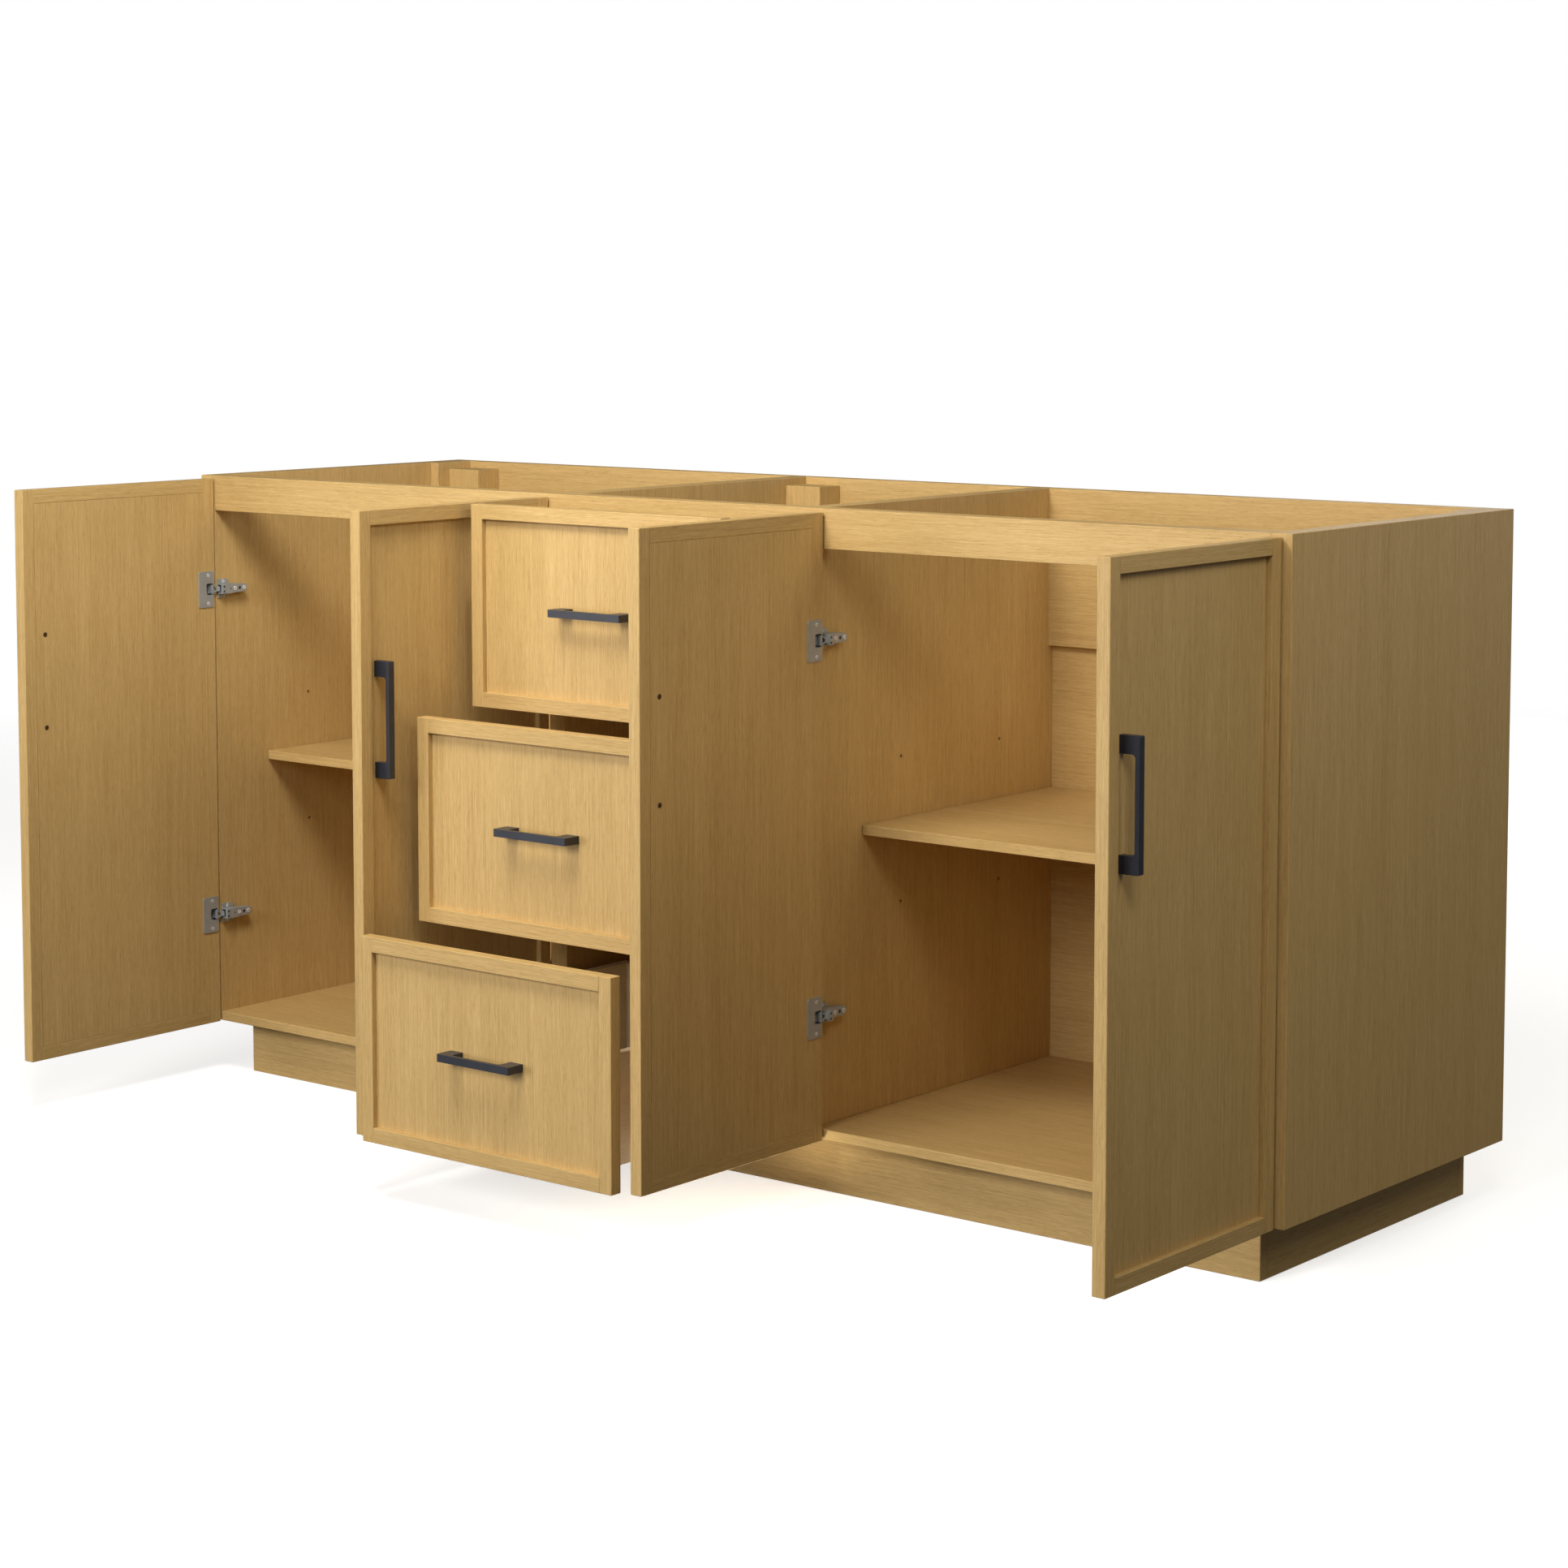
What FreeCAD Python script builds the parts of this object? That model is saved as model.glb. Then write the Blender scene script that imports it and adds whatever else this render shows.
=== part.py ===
import FreeCAD, Part
import os
import re
import Sketcher

# Double bathroom vanity base cabinet: two shelved bays with a pair of doors each,
# and a middle bay with three drawers. Millimetres, +X right, +Y to the back, +Z up.
# The origin is on the floor under the middle of the case. The rest pose has the
# doors open at a right angle and the drawers pulled out in steps.

doc = FreeCAD.newDocument("BathroomVanityCabinet")
sheet = doc.addObject("Spreadsheet::Sheet", "Sizes")

DIMENSIONS = {
    # case
    "cabinet_width": 1803,
    "cabinet_depth": 528,
    "cabinet_height": 868,
    "kick_height": 77.5,
    "kick_inset": 53,
    "kick_setback": 37,
    "kick_thick": 16,
    "kick_rail_spacing": 420,
    "panel_thick": 28,
    "bottom_thick": 13,
    "middle_bay_width": 391,
    "top_rail_height": 50,
    "top_rail_thick": 28,
    "back_thick": 10,
    "back_board_thick": 10,
    "back_board_height": 213,
    "cleat_thick": 15.5,
    "cleat_depth": 70,
    "corner_block_width": 61,
    "corner_block_depth": 46,
    "corner_block_height": 120,
    "corner_block_drop": 10,
    "edge_break": 0.6,
    # shelves
    "shelf_thick": 13,
    "shelf_height": 448.5,
    "shelf_setback": 96,
    "shelf_play": 1,
    "pin_radius": 2.5,
    "pin_length": 18,
    "pin_hole_radius": 2.6,
    "pin_hole_depth": 10,
    "pin_first_setback": 178,
    "pin_column_spacing": 217,
    "pin_row_spacing": 94,
    # doors and drawer fronts
    "front_bottom": 76.5,
    "front_height": 787,
    "front_thick": 17,
    "front_gap": 3.5,
    "front_reveal": 4,
    "frame_width": 19,
    "field_thick": 9.5,
    "door_width": 343,
    "door_outer_margin": 1.5,
    "door_inner_margin": 15.5,
    "door_open_gap": 3,
    "drawer_front_width": 416,
    # concealed hinges
    "hinge_end_distance": 158,
    "hinge_throw": 27.5,
    "pivot_depth": 6,
    "pivot_setback": 6.5,
    "pivot_radius": 1.5,
    "link_height": 13,
    "link_thick": 1.6,
    "link_reach": 8,
    "link_tail": 6.5,
    "link_tail_thick": 1.2,
    "link_front_gap": 0.5,
    "cup_start": 4,
    "cup_width": 14.6,
    "cup_height": 22,
    "cup_depth": 8.5,
    "cup_wall": 0.6,
    "flange_start": 2.8,
    "flange_width": 28,
    "flange_height": 52,
    "flange_thick": 1.2,
    "flange_screw_setback": 13.8,
    "flange_screw_spacing": 40,
    "plate_start": 2,
    "plate_length": 19.5,
    "plate_height": 27,
    "plate_thick": 2.5,
    "arm_start": 0.5,
    "arm_length": 46.5,
    "arm_height": 14,
    "arm_thick": 14,
    "arm_screw_front": 24,
    "arm_screw_back": 41.5,
    "knuckle_depth": 36,
    "knuckle_length": 9,
    "screw_head_radius": 3.2,
    "screw_head_height": 1.2,
    "small_head_radius": 2.6,
    "plate_screw_inset": 3.7,
    # pulls
    "pull_width": 9.5,
    "pull_projection": 25.5,
    "pull_bar_thick": 5.5,
    "pull_foot": 20,
    "pull_inner_radius": 4.5,
    "pull_outer_radius": 1.5,
    "door_pull_length": 148,
    "door_pull_centre": 600.5,
    "door_pull_setback": 35,
    "drawer_pull_length": 120,
    # drawer boxes and slides
    "drawer_rise": 23.5,
    "box_height": 136,
    "box_length": 450,
    "box_side_thick": 12,
    "box_bottom_thick": 6,
    "box_bottom_rise": 10,
    "slide_gap": 12.7,
    "slide_height": 45,
    "slide_slim_height": 31.5,
    "slide_setback": 56,
    "slide_end_gap": 2,
    "slide_fixed_thick": 4.4,
    "slide_middle_thick": 3.4,
    "slide_play": 0.3,
    "slide_above_bottom": 40,
    "top_drawer_out": 142,
    "middle_drawer_out": 242,
    "bottom_drawer_out": 344,
}
for row, (alias, value) in enumerate(DIMENSIONS.items(), start=1):
    sheet.set(f"A{row}", alias)
    sheet.set(f"B{row}", str(value))
    sheet.setAlias(f"B{row}", alias)
doc.recompute()

WORD = re.compile(r"\b[a-z][a-z_]+\b")
nodes = {}

# Places that many pieces share, as expressions of the sheet's cells
FRONT = "(-cabinet_depth / 2)"
BACK = "(cabinet_depth / 2)"
HALF = "(cabinet_width / 2)"
TOP = "cabinet_height"
CASE_BOTTOM = "kick_height"
FLOOR_TOP = "(kick_height + bottom_thick)"
SIDE_FACE = "(cabinet_width / 2 - panel_thick)"
DIVIDER_NEAR = "(middle_bay_width / 2)"
DIVIDER_FAR = "(middle_bay_width / 2 + panel_thick)"
BACK_PANEL_FACE = "(cabinet_depth / 2 - back_thick)"
BACK_BOARD_FACE = "(cabinet_depth / 2 - back_thick - back_board_thick)"
FRONT_TOP = "(front_bottom + front_height)"
DRAWER_HEIGHT = "((front_height - 2 * front_reveal) / 3)"
HINGE_HEIGHTS = ("(front_bottom + hinge_end_distance)", f"({FRONT_TOP} - hinge_end_distance)")


def expression(text):
    """Turn a formula of aliases into one that FreeCAD resolves on the sheet."""
    return WORD.sub(lambda word: f"Sizes.{word.group()}" if word.group() in DIMENSIONS else word.group(), text)


def number(text):
    """The value of a formula of aliases, in millimetres."""
    return float(sheet.evalExpression(expression(text)))


def bind(target, **formulas):
    for name, text in formulas.items():
        target.setExpression(name.replace("__", "."), expression(text))


def place(target, x, y, z):
    bind(target, Placement__Base__x=x, Placement__Base__y=y, Placement__Base__z=z)


def keep(name, target):
    """Register a finished sub-part under its node name."""
    target.Label = name
    nodes[name] = target
    return target


def span(centre, width):
    return (f"{centre} - ({width}) / 2", f"{centre} + ({width}) / 2")


def mirrored(side, low, high):
    """A span on the +X side, or its mirror image on the -X side."""
    return (low, high) if side > 0 else (f"-({high})", f"-({low})")


def block(name, x, y, z):
    """A plain box between two formulas on each axis."""
    box = doc.addObject("Part::Box", name)
    bind(box, Length=f"({x[1]}) - ({x[0]})", Width=f"({y[1]}) - ({y[0]})", Height=f"({z[1]}) - ({z[0]})")
    place(box, x[0], y[0], z[0])
    return box


def board(name, x, y, z):
    """A box of wood with every edge lightly broken."""
    box = block(name + "_blank", x, y, z)
    doc.recompute()
    broken = doc.addObject("Part::Chamfer", name + "_board")
    broken.Base = box
    size = number("edge_break")
    broken.Edges = [(edge, size, size) for edge in range(1, len(box.Shape.Edges) + 1)]
    return broken


def cylinder(name, radius, height, x, y, z, direction):
    rod = doc.addObject("Part::Cylinder", name)
    bind(rod, Radius=radius, Height=height)
    rod.Placement.Rotation = FreeCAD.Rotation(FreeCAD.Vector(0, 0, 1), FreeCAD.Vector(*direction))
    place(rod, x, y, z)
    return rod


def group(name, members):
    """Separate solids that share one node."""
    compound = doc.addObject("Part::Compound", name + "_group")
    compound.Links = members
    return compound


def cut(name, base, tools):
    result = doc.addObject("Part::Cut", name + "_cut")
    result.Base = base
    result.Tool = tools[0] if len(tools) == 1 else group(name + "_tools", tools)
    return result


def origin_plane(body, role):
    return next(feature for feature in body.Origin.OriginFeatures if feature.Role == role)


def outline_sketch(body, name, points):
    """A closed outline on the body's XY plane, each corner bound to two formulas."""
    sketch = body.newObject("Sketcher::SketchObject", name)
    sketch.AttachmentSupport = (origin_plane(body, "XY_Plane"), [""])
    sketch.MapMode = "FlatFace"
    corners = [FreeCAD.Vector(number(x), number(y), 0) for x, y in points]
    for index, corner in enumerate(corners):
        sketch.addGeometry(Part.LineSegment(corner, corners[(index + 1) % len(corners)]))
    for index in range(len(corners)):
        following = (index + 1) % len(corners)
        sketch.addConstraint(Sketcher.Constraint("Coincident", index, 2, following, 1))
    for index, corner in enumerate(points):
        for kind, formula, axis in (("DistanceX", corner[0], -2), ("DistanceY", corner[1], -1)):
            if formula == "0":
                sketch.addConstraint(Sketcher.Constraint("PointOnObject", index, 1, axis))
                continue
            made = sketch.addConstraint(Sketcher.Constraint(kind, -1, 1, index, 1, number(formula)))
            sketch.setExpression(f"Constraints[{made}]", expression(formula))
    return sketch


def padded_outline(name, points, thickness):
    """A PartDesign body: one outline, padded along its own Z."""
    body = doc.addObject("PartDesign::Body", name)
    sketch = outline_sketch(body, name + "_outline", points)
    pad = body.newObject("PartDesign::Pad", name + "_pad")
    pad.Profile = sketch
    bind(pad, Length=thickness)
    doc.recompute()
    return body, pad


def edges_at(shape, *places):
    """Names of the straight edges parallel to Z that stand at the given XY places."""
    found = []
    for index, edge in enumerate(shape.Edges, start=1):
        first, last = edge.Vertexes[0].Point, edge.Vertexes[-1].Point
        upright = abs(first.x - last.x) < 1e-6 and abs(first.y - last.y) < 1e-6
        if upright and any(abs(first.x - x) < 1e-3 and abs(first.y - y) < 1e-3 for x, y in places):
            found.append(f"Edge{index}")
    return found


# ---------------------------------------------------------------- case

def pin_row_height(row):
    """Height of a row of shelf-pin holes: -1 is the lowest, 0 carries the shelf."""
    return f"(shelf_height - pin_radius + ({row}) * pin_row_spacing)"


def pin_setback(column):
    return f"({FRONT} + pin_first_setback + {column} * pin_column_spacing)"


def upright_panel(name, side, x, y, z, hole_face, hole_side, notches=()):
    """A side or divider panel with two columns of shelf-pin holes in one face."""
    panel = board(name, x, y, z)
    holes = list(notches)
    for column in (0, 1):
        for row in (-1, 0, 1):
            holes.append(cylinder(f"{name}_hole_{column}_{row + 1}", "pin_hole_radius", "pin_hole_depth",
                                  f"{side} * {hole_face}", pin_setback(column), pin_row_height(row),
                                  (hole_side, 0, 0)))
    keep(name, cut(name, panel, holes))


def case_panels():
    rail_y = (FRONT, f"{FRONT} + top_rail_thick")
    rail_z = (f"{TOP} - top_rail_height", TOP)
    board_y = (BACK_BOARD_FACE, BACK_PANEL_FACE)
    board_z = (f"{TOP} - back_board_height", TOP)
    for side, hand in ((-1, "left"), (1, "right")):
        upright_panel(f"side_panel_{hand}", side, mirrored(side, SIDE_FACE, HALF), (FRONT, BACK), (CASE_BOTTOM, TOP),
                      SIDE_FACE, side)
        x = mirrored(side, DIVIDER_NEAR, DIVIDER_FAR)
        notches = [block(f"divider_{hand}_rail_notch", x, rail_y, rail_z),
                   block(f"divider_{hand}_board_notch", x, board_y, board_z)]
        upright_panel(f"divider_{hand}", side, x, (FRONT, BACK_PANEL_FACE), (FLOOR_TOP, TOP),
                      DIVIDER_FAR, -side, notches)
    across = (f"-{SIDE_FACE}", SIDE_FACE)
    keep("bottom_panel", board("bottom_panel", across, (FRONT, BACK_PANEL_FACE), (CASE_BOTTOM, FLOOR_TOP)))
    keep("front_top_rail", board("front_top_rail", across, rail_y, rail_z))
    keep("back_panel", board("back_panel", across, (BACK_PANEL_FACE, BACK), (CASE_BOTTOM, TOP)))
    keep("back_top_board", board("back_top_board", across, board_y, board_z))


def case_stiffeners():
    """Upright cleats and blocks in the back corners that hold the countertop."""
    cleats = []
    blocks = []
    block_y = (f"{BACK_BOARD_FACE} - corner_block_depth", BACK_BOARD_FACE)
    block_z = (f"{TOP} - corner_block_drop - corner_block_height", f"{TOP} - corner_block_drop")
    for side in (-1, 1):
        inner = f"({SIDE_FACE} - cleat_thick)"
        cleats.append(board(f"cleat_{side + 1}", mirrored(side, inner, SIDE_FACE),
                            (f"{BACK_BOARD_FACE} - cleat_depth", BACK_BOARD_FACE),
                            (f"{TOP} - back_board_height", TOP)))
        for place_name, outer in (("bay", inner), ("middle", DIVIDER_NEAR)):
            blocks.append(board(f"corner_block_{place_name}_{side + 1}",
                                mirrored(side, f"{outer} - corner_block_width", outer), block_y, block_z))
    keep("rear_cleats", group("rear_cleats", cleats))
    keep("corner_blocks", group("corner_blocks", blocks))


def toe_kick():
    """The recessed base: front, sides, back and three cross rails."""
    edge = f"({HALF} - kick_inset)"
    low = ("0", CASE_BOTTOM)
    front_y = (f"{FRONT} + kick_setback", f"{FRONT} + kick_setback + kick_thick")
    between = (front_y[1], f"{BACK} - kick_thick")
    keep("toe_kick_front", board("toe_kick_front", (f"-{edge}", edge), front_y, low))
    keep("toe_kick_back", board("toe_kick_back", (f"-{edge}", edge), (between[1], BACK), low))
    sides = [board(f"toe_kick_side_{side + 1}", mirrored(side, f"{edge} - kick_thick", edge), between, low)
             for side in (-1, 1)]
    keep("toe_kick_sides", group("toe_kick_sides", sides))
    rails = [board(f"kick_rail_{index + 1}", span(f"{index} * kick_rail_spacing", "kick_thick"), between, low)
             for index in (-1, 0, 1)]
    keep("toe_kick_rails", group("toe_kick_rails", rails))


def shelves():
    pins = []
    for side, hand in ((-1, "left"), (1, "right")):
        keep(f"shelf_{hand}", board(f"shelf_{hand}",
                                    mirrored(side, f"{DIVIDER_FAR} + shelf_play", f"{SIDE_FACE} - shelf_play"),
                                    (f"{FRONT} + shelf_setback", f"{BACK_PANEL_FACE} - shelf_play"),
                                    ("shelf_height", "shelf_height + shelf_thick")))
        for column in (0, 1):
            for wall, face, direction in (("side", SIDE_FACE, -side), ("divider", DIVIDER_FAR, side)):
                start = f"({face}) {'+' if direction * side < 0 else '-'} pin_hole_depth"
                pins.append(cylinder(f"pin_{hand}_{wall}_{column}", "pin_radius", "pin_length",
                                     f"{side} * ({start})", pin_setback(column), pin_row_height(0),
                                     (direction, 0, 0)))
    keep("shelf_pins", group("shelf_pins", pins))


# ---------------------------------------------------------------- doors

def depth_from(edge, inward, distance):
    """An X place that lies a distance into the bay from the closed door's hinge edge."""
    return f"{edge} + ({inward}) * ({distance})"


def ordered(inward, low, high):
    """A span of distances into the bay, as formulas from the lower X to the higher."""
    return (low, high) if inward > 0 else (high, low)


def door_span(edge, inward, low, high):
    first, last = ordered(inward, low, high)
    return (depth_from(edge, inward, first), depth_from(edge, inward, last))


# Each door's hinge edge when closed, the way from it into the bay, and the wall it hangs on
DOORS = {
    1: (f"(-{HALF} + door_outer_margin)", 1, f"-{SIDE_FACE}"),
    2: ("(-middle_bay_width / 2 - door_inner_margin)", -1, f"-{DIVIDER_FAR}"),
    3: ("(middle_bay_width / 2 + door_inner_margin)", 1, DIVIDER_FAR),
    4: (f"({HALF} - door_outer_margin)", -1, SIDE_FACE),
}
DOOR_BACK = "hinge_throw"
DOOR_FACE = "(hinge_throw - front_thick)"
HINGE_EDGE = f"({FRONT} - door_open_gap)"
FREE_EDGE = f"({FRONT} - door_open_gap - door_width)"


def door_leaf(name, edge, inward):
    """The open door: a slim frame of four members round a thinner field."""
    whole = door_span(edge, inward, DOOR_FACE, DOOR_BACK)
    stile_hinge = board(f"{name}_hinge_stile", whole, (f"{HINGE_EDGE} - frame_width", HINGE_EDGE),
                        ("front_bottom", FRONT_TOP))
    stile_free = board(f"{name}_free_stile", whole, (FREE_EDGE, f"{FREE_EDGE} + frame_width"),
                       ("front_bottom", FRONT_TOP))
    between = (f"{FREE_EDGE} + frame_width", f"{HINGE_EDGE} - frame_width")
    rail_low = board(f"{name}_low_rail", whole, between, ("front_bottom", "front_bottom + frame_width"))
    rail_top = board(f"{name}_top_rail", whole, between, (f"{FRONT_TOP} - frame_width", FRONT_TOP))
    pockets = []
    for level, height in enumerate(HINGE_HEIGHTS):
        pockets.append(block(f"{name}_pocket_{level}",
                             door_span(edge, inward, f"{DOOR_BACK} - cup_depth", DOOR_BACK),
                             (f"{HINGE_EDGE} - cup_start - cup_width", f"{HINGE_EDGE} - cup_start"),
                             span(height, "cup_height")))
    routed = cut(f"{name}_hinge_stile", stile_hinge, pockets)
    keep(f"{name}_frame", group(f"{name}_frame", [routed, stile_free, rail_low, rail_top]))
    keep(f"{name}_panel", block(f"{name}_panel", door_span(edge, inward, f"{DOOR_BACK} - field_thick", DOOR_BACK),
                                between, ("front_bottom + frame_width", f"{FRONT_TOP} - frame_width")))


def hinge_cups(name, edge, inward):
    """Each cup is a pressed box in the stile with a flat flange on the door's back."""
    cups = []
    for level, height in enumerate(HINGE_HEIGHTS):
        tag = f"{name}_cup_{level}"
        shell = block(f"{tag}_shell", door_span(edge, inward, f"{DOOR_BACK} - cup_depth", DOOR_BACK),
                      (f"{HINGE_EDGE} - cup_start - cup_width", f"{HINGE_EDGE} - cup_start"),
                      span(height, "cup_height"))
        flange = block(f"{tag}_flange", door_span(edge, inward, DOOR_BACK, f"{DOOR_BACK} + flange_thick"),
                       (f"{HINGE_EDGE} - flange_start - flange_width", f"{HINGE_EDGE} - flange_start"),
                       span(height, "flange_height"))
        whole = doc.addObject("Part::Fuse", f"{tag}_whole")
        whole.Base = shell
        whole.Tool = flange
        hollow = block(f"{tag}_hollow",
                       door_span(edge, inward, f"{DOOR_BACK} - cup_depth + cup_wall", f"{DOOR_BACK} + 2 * flange_thick"),
                       (f"{HINGE_EDGE} - cup_start - cup_width + cup_wall", f"{HINGE_EDGE} - cup_start - cup_wall"),
                       span(height, "cup_height - 2 * cup_wall"))
        cups.append(cut(tag, whole, [hollow]))
    keep(f"{name}_hinge_cups", group(f"{name}_hinge_cups", cups))


def hinge_links(name, edge, inward):
    """The moving links: a barrel in the cup and a bent strap back to the arm."""
    links = []
    barrel_y = f"({HINGE_EDGE} - pivot_setback)"
    barrel_x = "(hinge_throw - pivot_depth)"
    strap_top = f"({FRONT} - link_front_gap)"
    for level, height in enumerate(HINGE_HEIGHTS):
        tag = f"{name}_link_{level}"
        barrel = cylinder(f"{tag}_barrel", "pivot_radius", "link_height", depth_from(edge, inward, barrel_x),
                          barrel_y, f"{height} - link_height / 2", (0, 0, 1))
        level_z = span(height, "link_height")
        corner = f"{barrel_x} + link_reach + link_thick"
        strap = block(f"{tag}_strap", door_span(edge, inward, barrel_x, corner),
                      (f"{barrel_y} - link_thick / 2", f"{barrel_y} + link_thick / 2"), level_z)
        riser = block(f"{tag}_riser", door_span(edge, inward, f"{barrel_x} + link_reach", corner),
                      (f"{barrel_y} - link_thick / 2", strap_top), level_z)
        tail = block(f"{tag}_tail", door_span(edge, inward, f"{barrel_x} + link_reach",
                                              f"{barrel_x} + link_reach + link_tail"),
                     (f"{strap_top} - link_tail_thick", strap_top), level_z)
        link = doc.addObject("Part::MultiFuse", tag)
        link.Shapes = [barrel, strap, riser, tail]
        links.append(link)
    keep(f"{name}_hinge_links", group(f"{name}_hinge_links", links))


def hinge_arms():
    """Plates and arms screwed to the bay walls, each with a knuckle that meets the door's links."""
    arms = []
    screws = []
    for door, (edge, inward, wall) in DOORS.items():
        face = f"{wall} + ({inward}) * arm_thick"

        def from_wall(depth):
            return (wall, depth) if inward > 0 else (depth, wall)
        for level, height in enumerate(HINGE_HEIGHTS):
            tag = f"hinge_arm_{door}_{level}"
            plate = block(f"{tag}_plate", from_wall(f"{wall} + ({inward}) * plate_thick"),
                          (f"{FRONT} + plate_start", f"{FRONT} + plate_start + plate_length"),
                          span(height, "plate_height"))
            arm = block(f"{tag}_arm", from_wall(face),
                        (f"{FRONT} + arm_start", f"{FRONT} + arm_start + arm_length"), span(height, "arm_height"))
            knuckle = block(f"{tag}_knuckle", from_wall(depth_from(edge, inward, "knuckle_depth")),
                            (f"{FRONT} + arm_start", f"{FRONT} + arm_start + knuckle_length"),
                            span(height, "link_height"))
            whole = doc.addObject("Part::MultiFuse", tag)
            whole.Shapes = [plate, arm, knuckle]
            arms.append(whole)
            for slot, setback in enumerate(("arm_screw_front", "arm_screw_back")):
                screws.append(cylinder(f"{tag}_screw_{slot}", "screw_head_radius", "screw_head_height",
                                       face, f"{FRONT} + {setback}", height, (inward, 0, 0)))
            for slot in (-1, 1):
                screws.append(cylinder(f"{tag}_plate_screw_{slot + 1}", "small_head_radius", "screw_head_height",
                                       f"{wall} + ({inward}) * plate_thick",
                                       f"{FRONT} + plate_start + plate_length / 2",
                                       f"{height} + {slot} * (plate_height / 2 - plate_screw_inset)",
                                       (inward, 0, 0)))
    keep("hinge_arms", group("hinge_arms", arms))
    keep("hinge_arm_screws", group("hinge_arm_screws", screws))


def pull(name, length):
    """A square bar pull lying along its own X, its feet on Y = 0 and the bar towards +Y."""
    inner = "(pull_projection - pull_bar_thick)"
    foot_end = f"({length} - pull_foot)"
    points = [("0", "0"), ("pull_foot", "0"), ("pull_foot", inner), (foot_end, inner), (foot_end, "0"),
              (length, "0"), (length, "pull_projection"), ("0", "pull_projection")]
    body, pad = padded_outline(name, points, "pull_width")
    for tag, radius, corners in (("inner", "pull_inner_radius", points[2:4]),
                                 ("outer", "pull_outer_radius", points[6:8])):
        base = body.Tip
        places = [(number(x), number(y)) for x, y in corners]
        rounded = body.newObject("PartDesign::Fillet", f"{name}_{tag}_round")
        rounded.Base = (base, edges_at(base.Shape, *places))
        bind(rounded, Radius=radius)
        doc.recompute()
    return body


def door_hardware(name, edge, inward):
    """The pull on the door's face and the screws that hold it and the hinge cups."""
    bar = pull(f"{name}_pull_bar", "door_pull_length")
    outward = FreeCAD.Vector(-inward, 0, 0)
    upward = FreeCAD.Vector(0, 0, 1)
    bar.Placement.Rotation = FreeCAD.Rotation(upward, outward, upward.cross(outward), "XYZ")
    middle = f"({FREE_EDGE} + door_pull_setback)"
    place(bar, depth_from(edge, inward, f"{DOOR_BACK} - field_thick"), f"{middle} - ({-inward}) * pull_width / 2",
          "door_pull_centre - door_pull_length / 2")
    keep(f"{name}_pull", bar)
    screws = []
    back = depth_from(edge, inward, DOOR_BACK)
    for end in (-1, 1):
        screws.append(cylinder(f"{name}_pull_screw_{end + 1}", "screw_head_radius", "screw_head_height", back, middle,
                               f"door_pull_centre + {end} * (door_pull_length - pull_foot) / 2", (inward, 0, 0)))
    for level, height in enumerate(HINGE_HEIGHTS):
        for end in (-1, 1):
            screws.append(cylinder(f"{name}_cup_screw_{level}_{end + 1}", "small_head_radius",
                                   "screw_head_height / 2", f"{back} + ({inward}) * flange_thick",
                                   f"{HINGE_EDGE} - flange_screw_setback",
                                   f"{height} + {end} * flange_screw_spacing / 2", (inward, 0, 0)))
    keep(f"{name}_screws", group(f"{name}_screws", screws))


def doors():
    for door, (edge, inward, _) in DOORS.items():
        name = f"door_{door}"
        door_leaf(name, edge, inward)
        hinge_cups(name, edge, inward)
        hinge_links(name, edge, inward)
        door_hardware(name, edge, inward)
    hinge_arms()


# ---------------------------------------------------------------- drawers

DRAWERS = {
    1: ("top_drawer_out", 2),
    2: ("middle_drawer_out", 1),
    3: ("bottom_drawer_out", 0),
}
BOX_SIDE = f"({DIVIDER_NEAR} - slide_gap)"


def drawer_front(name, face, low):
    """A slim framed front like the doors, four members round a field."""
    half = "(drawer_front_width / 2)"
    high = f"({low} + {DRAWER_HEIGHT})"
    y = (face, f"{face} + front_thick")
    left = board(f"{name}_left_stile", (f"-{half}", f"-{half} + frame_width"), y, (low, high))
    right = board(f"{name}_right_stile", (f"{half} - frame_width", half), y, (low, high))
    between = (f"-{half} + frame_width", f"{half} - frame_width")
    lower = board(f"{name}_low_rail", between, y, (low, f"{low} + frame_width"))
    upper = board(f"{name}_top_rail", between, y, (f"{high} - frame_width", high))
    field = block(f"{name}_field", between, (f"{face} + front_thick - field_thick", y[1]),
                  (f"{low} + frame_width", f"{high} - frame_width"))
    keep(f"{name}_front", group(f"{name}_front", [left, right, lower, upper, field]))


def drawer_box(name, start, low):
    """Sides, ends and a let-in bottom, as five separate boards."""
    bottom = f"({low} + drawer_rise)"
    z = (bottom, f"{bottom} + box_height")
    end = f"({start} + box_length)"
    inner = f"({BOX_SIDE} - box_side_thick)"
    members = [board(f"{name}_side_{side + 1}", mirrored(side, inner, BOX_SIDE), (start, end), z)
               for side in (-1, 1)]
    across = (f"-{inner}", inner)
    members.append(board(f"{name}_box_front", across, (start, f"{start} + box_side_thick"), z))
    members.append(board(f"{name}_box_back", across, (f"{end} - box_side_thick", end), z))
    members.append(block(f"{name}_box_floor", across, (f"{start} + box_side_thick", f"{end} - box_side_thick"),
                         (f"{bottom} + box_bottom_rise", f"{bottom} + box_bottom_rise + box_bottom_thick")))
    keep(f"{name}_box", group(f"{name}_box", members))


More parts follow.
